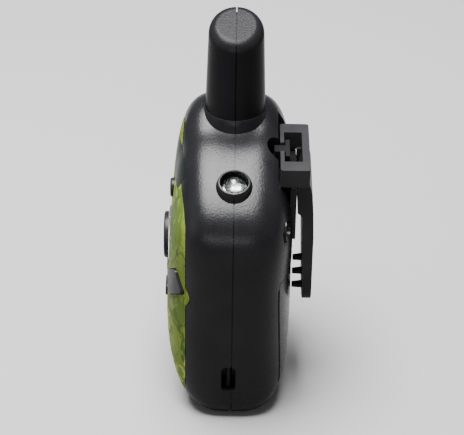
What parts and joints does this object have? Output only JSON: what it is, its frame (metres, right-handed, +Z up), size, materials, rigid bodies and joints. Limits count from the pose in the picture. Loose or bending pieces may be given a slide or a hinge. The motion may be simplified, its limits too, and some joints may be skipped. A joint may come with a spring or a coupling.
{
  "type": "handheld two-way radio",
  "caption": "Compact handheld two-way radio: two-part black case with an integral stub antenna, camouflage front plate, shoulder torch, sprung keys, belt clip and battery door",
  "frame": {"origin": "middle of the flat foot of the case, halfway through the overall depth, where the radio stands", "axes": "+Z up along the antenna, the front plate and keys face -Y, the shoulder torch is on the +X side, the belt clip is on +Y"},
  "size_m": [0.0584, 0.0428, 0.1094],
  "materials": {
    "black_abs": "fine moulded texture",
    "woodland_print": "printed camouflage under a satin coat",
    "clear_lens": "clear polycarbonate",
    "chrome_trim": "bright plated ring",
    "silicone": "moulded silicone sheet",
    "board": "glass-fibre board with solder mask",
    "steel": "pressed or turned steel",
    "copper_wire": "copper wire",
    "cell_wrap": "printed shrink wrap"
  },
  "bodies": {
    "radio": {"front_case": "black_abs", "rear_case": "black_abs", "camo_faceplate": "woodland_print", "display_window": "clear_lens", "display_module": "steel", "chrome_ring": "chrome_trim", "keypad_membrane": "silicone", "circuit_board": "board", "rf_shield": "steel", "speaker": "steel", "microphone": "steel", "antenna_coil": "copper_wire", "torch_lens": "clear_lens", "torch_lamp": "steel", "torch_carrier": "board", "strap_pin": "black_abs", "cell_1": "cell_wrap", "cell_2": "cell_wrap", "cell_3": "cell_wrap", "contact_plate_1": "steel", "contact_plate_2": "steel", "contact_plate_3": "steel", "contact_spring_1": "steel", "contact_spring_2": "steel", "contact_spring_3": "steel", "case_screw_upper_left": "steel", "case_screw_upper_right": "steel", "case_screw_lower_left": "steel", "case_screw_lower_right": "steel"},
    "ptt": {"ptt_key": "black_abs"},
    "right_wing": {"right_wing_key": "black_abs"},
    "left_wing": {"left_wing_key": "black_abs"},
    "up": {"up_key": "black_abs"},
    "down": {"down_key": "black_abs"},
    "menu": {"menu_key": "black_abs"},
    "door": {"battery_door": "black_abs"},
    "clip": {"belt_clip": "black_abs"}
  },
  "joints": [
    {"name": "ptt_press", "type": "slide", "parent": "radio", "child": "ptt", "axis": [0, 1, 0], "range_m": [0, 0.001], "stiffness_N_per_m": 1800, "springref_m": -0.0005},
    {"name": "right_wing_press", "type": "slide", "parent": "radio", "child": "right_wing", "axis": [0, 1, 0], "range_m": [0, 0.001], "stiffness_N_per_m": 1500, "springref_m": -0.0005},
    {"name": "left_wing_press", "type": "slide", "parent": "radio", "child": "left_wing", "axis": [0, 1, 0], "range_m": [0, 0.001], "stiffness_N_per_m": 1500, "springref_m": -0.0005},
    {"name": "up_press", "type": "slide", "parent": "radio", "child": "up", "axis": [0, 1, 0], "range_m": [0, 0.001], "stiffness_N_per_m": 1500, "springref_m": -0.0005},
    {"name": "down_press", "type": "slide", "parent": "radio", "child": "down", "axis": [0, 1, 0], "range_m": [0, 0.001], "stiffness_N_per_m": 1500, "springref_m": -0.0005},
    {"name": "menu_press", "type": "slide", "parent": "radio", "child": "menu", "axis": [0, 1, 0], "range_m": [0, 0.0008], "stiffness_N_per_m": 1500, "springref_m": -0.0005},
    {"name": "battery_door_slide", "type": "slide", "parent": "radio", "child": "door", "axis": [0, 0, -1], "range_m": [0, 0.008]},
    {"name": "belt_clip_slide", "type": "slide", "parent": "radio", "child": "clip", "axis": [0, 0, 1], "range_m": [0, 0.01]}
  ]
}
